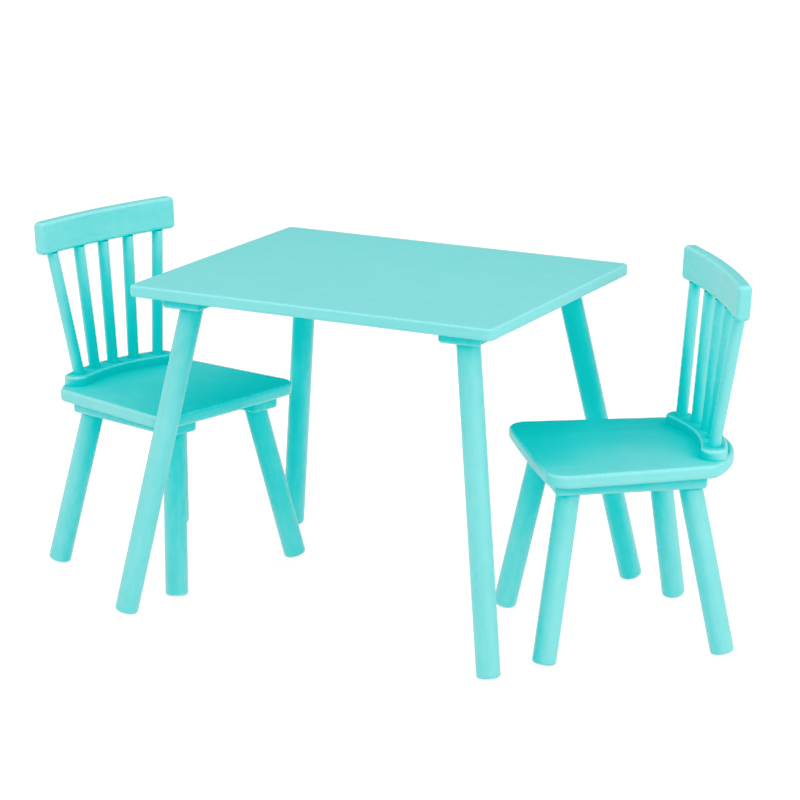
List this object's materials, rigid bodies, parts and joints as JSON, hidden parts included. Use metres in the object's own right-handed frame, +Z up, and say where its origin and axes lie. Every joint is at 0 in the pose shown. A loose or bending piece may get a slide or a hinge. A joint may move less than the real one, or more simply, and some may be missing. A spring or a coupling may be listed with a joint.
{
  "type": "kids table and chairs",
  "caption": "Low rectangular table on splayed round legs, with matching spindle-back chairs for small children, all in painted wood.",
  "frame": {"origin": "on the floor, in the middle of the set's footprint as it stands with the chairs at the table's two ends", "axes": "+Z up; +X along the table's long side, from the left chair to the right chair; +Y away from the table's front edge"},
  "size_m": [1.1568, 0.5476, 0.5555],
  "materials": {
    "painted_board": "satin aqua paint on a smooth wooden board",
    "painted_solid_wood": "satin aqua paint on turned and planed solid wood, with the grain just showing",
    "zinc_steel": "zinc-plated"
  },
  "bodies": {
    "table": {"table_batten_left": "painted_solid_wood", "table_batten_right": "painted_solid_wood", "table_batten_screws": "zinc_steel", "table_hanger_bolts": "zinc_steel", "table_leg_front_left": "painted_solid_wood", "table_leg_front_right": "painted_solid_wood", "table_leg_rear_left": "painted_solid_wood", "table_leg_rear_right": "painted_solid_wood", "table_threaded_inserts": "zinc_steel", "tabletop": "painted_board"},
    "left_chair": {"left_chair_back_shoe": "painted_solid_wood", "left_chair_batten_screws": "zinc_steel", "left_chair_crest_rail": "painted_solid_wood", "left_chair_hanger_bolts": "zinc_steel", "left_chair_leg_front_left": "painted_solid_wood", "left_chair_leg_front_right": "painted_solid_wood", "left_chair_leg_rear_left": "painted_solid_wood", "left_chair_leg_rear_right": "painted_solid_wood", "left_chair_seat": "painted_board", "left_chair_seat_batten_left": "painted_solid_wood", "left_chair_seat_batten_right": "painted_solid_wood", "left_chair_shoe_screws": "zinc_steel", "left_chair_spindle_1": "painted_solid_wood", "left_chair_spindle_2": "painted_solid_wood", "left_chair_spindle_3": "painted_solid_wood", "left_chair_spindle_4": "painted_solid_wood", "left_chair_spindle_5": "painted_solid_wood", "left_chair_threaded_inserts": "zinc_steel"},
    "right_chair": {"right_chair_back_shoe": "painted_solid_wood", "right_chair_batten_screws": "zinc_steel", "right_chair_crest_rail": "painted_solid_wood", "right_chair_hanger_bolts": "zinc_steel", "right_chair_leg_front_left": "painted_solid_wood", "right_chair_leg_front_right": "painted_solid_wood", "right_chair_leg_rear_left": "painted_solid_wood", "right_chair_leg_rear_right": "painted_solid_wood", "right_chair_seat": "painted_board", "right_chair_seat_batten_left": "painted_solid_wood", "right_chair_seat_batten_right": "painted_solid_wood", "right_chair_shoe_screws": "zinc_steel", "right_chair_spindle_1": "painted_solid_wood", "right_chair_spindle_2": "painted_solid_wood", "right_chair_spindle_3": "painted_solid_wood", "right_chair_spindle_4": "painted_solid_wood", "right_chair_spindle_5": "painted_solid_wood", "right_chair_threaded_inserts": "zinc_steel"}
  },
  "joints": [
    {"name": "left_chair_slide", "type": "slide", "parent": "table", "child": "left_chair", "axis": [0.9728, -0.2317, 0], "range_m": [-0.4, 0.175]},
    {"name": "right_chair_slide", "type": "slide", "parent": "table", "child": "right_chair", "axis": [-0.7891, -0.6143, 0], "range_m": [-0.4, 0.07]}
  ]
}
